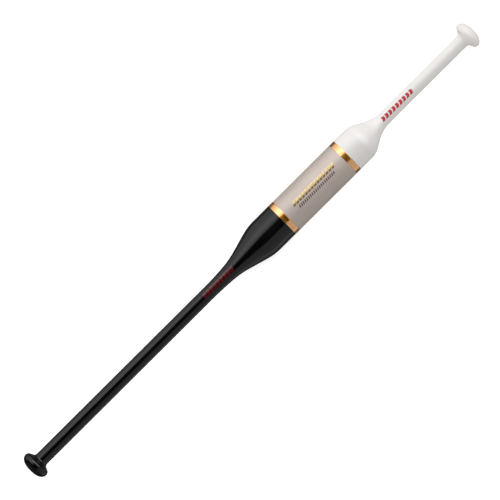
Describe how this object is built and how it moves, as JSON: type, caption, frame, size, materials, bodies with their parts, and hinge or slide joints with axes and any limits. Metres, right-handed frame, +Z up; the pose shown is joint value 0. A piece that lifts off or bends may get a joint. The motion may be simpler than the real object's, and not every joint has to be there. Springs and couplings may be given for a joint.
{
  "type": "swing trainer stick",
  "caption": "Two-ended swing trainer stick: thick weighted barrel between gold rings, a long black and a short white tapered handle, each ending in a round knob.",
  "frame": {"origin": "under the middle of the stick's length, on the plane the barrel lies on", "axes": "+X along the stick from the long black end to the short white end; +Z up from the plane it lies on, the side that carries the marks; the stick's own axis is one barrel radius above the origin"},
  "size_m": [1.05, 0.066, 0.066],
  "materials": {
    "black_lacquer": "gloss",
    "white_lacquer": "gloss",
    "black_plastic": "gloss",
    "white_plastic": "gloss",
    "champagne_metal": "satin",
    "gold_metal": "polished",
    "bare_aluminium": "satin",
    "bright_steel": "satin",
    "black_rubber": "matte"
  },
  "bodies": {
    "root": {"long_grip_tube": "black_lacquer", "long_shoulder": "black_lacquer", "short_grip_tube": "white_lacquer", "short_shoulder": "white_lacquer", "barrel_sleeve": "champagne_metal", "long_ring": "gold_metal", "short_ring": "gold_metal", "long_knob": "black_plastic", "short_knob": "white_plastic", "long_knob_plug": "black_plastic", "short_knob_plug": "white_plastic", "long_anchor": "bare_aluminium", "short_anchor": "bare_aluminium", "knob_bolts": "bright_steel", "knob_washers": "bright_steel", "core_tube": "bare_aluminium", "long_bulkhead": "bare_aluminium", "short_bulkhead": "bare_aluminium", "long_spacer": "bare_aluminium", "short_spacer": "bare_aluminium", "long_cushion": "black_rubber", "short_cushion": "black_rubber", "weight_slug": "bright_steel", "tie_rod": "bright_steel", "tie_nuts": "bright_steel", "tie_washers": "bright_steel"}
  },
  "joints": []
}
